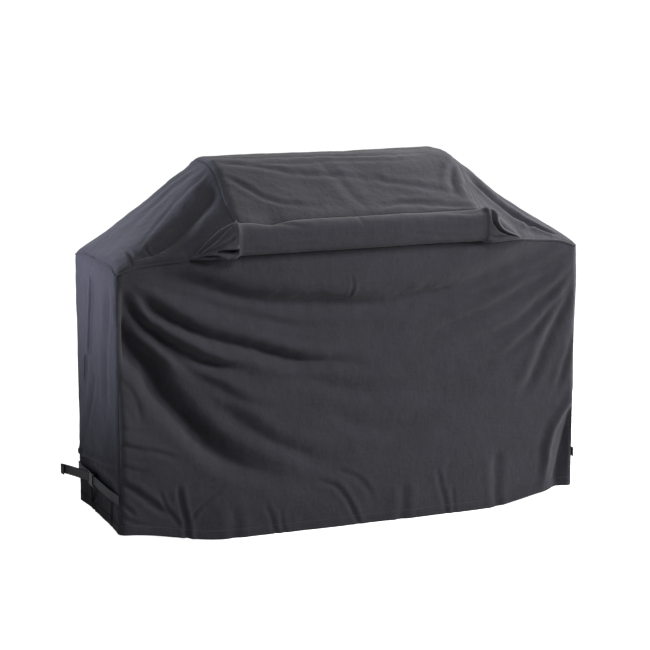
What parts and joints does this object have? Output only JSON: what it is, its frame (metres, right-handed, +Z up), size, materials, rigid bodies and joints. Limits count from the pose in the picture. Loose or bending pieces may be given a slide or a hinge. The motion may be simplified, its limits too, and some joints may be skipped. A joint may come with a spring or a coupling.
{
  "type": "grill cover",
  "caption": "Fitted black woven-fabric cover for a wagon grill, raised hood, handle pocket, sloping shoulders, piped seams, folded hems and buckled side straps; open underneath.",
  "frame": {"origin": "on the ground plane that the lowest hem rests on, under the middle of the cover's bounding box", "axes": "+X along the width towards the right side as seen from the front, -Y towards the front with the handle pocket, +Z up"},
  "size_m": [1.628, 0.5995, 1.1234],
  "materials": {
    "cover_cloth": "coated woven polyester, matt",
    "hem_cloth": "folded and stitched polyester",
    "piping": "piped seam, matt",
    "webbing": "ribbed webbing",
    "buckle_plastic": "moulded acetal, satin"
  },
  "bodies": {
    "cover": {"hood_panel": "cover_cloth", "handle_pocket": "cover_cloth", "left_pocket_gusset": "cover_cloth", "right_pocket_gusset": "cover_cloth", "front_panel": "cover_cloth", "rear_panel": "cover_cloth", "left_side_panel": "cover_cloth", "right_side_panel": "cover_cloth", "left_shoulder_panel": "cover_cloth", "right_shoulder_panel": "cover_cloth", "left_seam_piping": "piping", "right_seam_piping": "piping", "left_shelf_binding": "piping", "right_shelf_binding": "piping", "front_hem": "hem_cloth", "rear_hem": "hem_cloth", "left_hem": "hem_cloth", "right_hem": "hem_cloth", "left_front_strap": "webbing", "left_rear_strap": "webbing", "left_buckle_socket": "buckle_plastic", "right_front_strap": "webbing", "right_rear_strap": "webbing", "right_buckle_socket": "buckle_plastic"},
    "left_clip": {"left_buckle_clip": "buckle_plastic"},
    "left_upper_prong": {"left_upper_prong": "buckle_plastic"},
    "left_lower_prong": {"left_lower_prong": "buckle_plastic"},
    "left_tail": {"left_strap_tail": "webbing"},
    "right_clip": {"right_buckle_clip": "buckle_plastic"},
    "right_upper_prong": {"right_upper_prong": "buckle_plastic"},
    "right_lower_prong": {"right_lower_prong": "buckle_plastic"},
    "right_tail": {"right_strap_tail": "webbing"}
  },
  "joints": [
    {"name": "left_clip_release", "type": "slide", "parent": "cover", "child": "left_clip", "axis": [0, 1, 0], "range_m": [0, 0.035], "deforming": ["left_rear_strap", "left_upper_prong", "left_lower_prong"]},
    {"name": "left_upper_prong_squeeze", "type": "hinge", "parent": "left_clip", "child": "left_upper_prong", "pos_m": [-0.7663, 0.06, 0.1621], "axis": [1, 0, 0], "range_deg": [0, 10], "stiffness_Nm_per_rad": 1},
    {"name": "left_lower_prong_squeeze", "type": "hinge", "parent": "left_clip", "child": "left_lower_prong", "pos_m": [-0.7663, 0.06, 0.1339], "axis": [-1, 0, 0], "range_deg": [0, 10], "stiffness_Nm_per_rad": 1},
    {"name": "left_tail_swing", "type": "hinge", "parent": "left_clip", "child": "left_tail", "pos_m": [-0.7663, 0.0769, 0.148], "axis": [0, 0, 1], "range_deg": [-12, 100]},
    {"name": "right_clip_release", "type": "slide", "parent": "cover", "child": "right_clip", "axis": [0, 1, 0], "range_m": [0, 0.035], "deforming": ["right_rear_strap", "right_upper_prong", "right_lower_prong"]},
    {"name": "right_upper_prong_squeeze", "type": "hinge", "parent": "right_clip", "child": "right_upper_prong", "pos_m": [0.7663, 0.06, 0.1621], "axis": [1, 0, 0], "range_deg": [0, 10], "stiffness_Nm_per_rad": 1},
    {"name": "right_lower_prong_squeeze", "type": "hinge", "parent": "right_clip", "child": "right_lower_prong", "pos_m": [0.7663, 0.06, 0.1339], "axis": [-1, 0, 0], "range_deg": [0, 10], "stiffness_Nm_per_rad": 1},
    {"name": "right_tail_swing", "type": "hinge", "parent": "right_clip", "child": "right_tail", "pos_m": [0.7663, 0.0769, 0.148], "axis": [0, 0, -1], "range_deg": [-12, 100]}
  ],
  "couplings": [
    {"joint": "left_lower_prong_squeeze", "follows": "left_upper_prong_squeeze", "ratio": 1},
    {"joint": "right_lower_prong_squeeze", "follows": "right_upper_prong_squeeze", "ratio": 1}
  ]
}
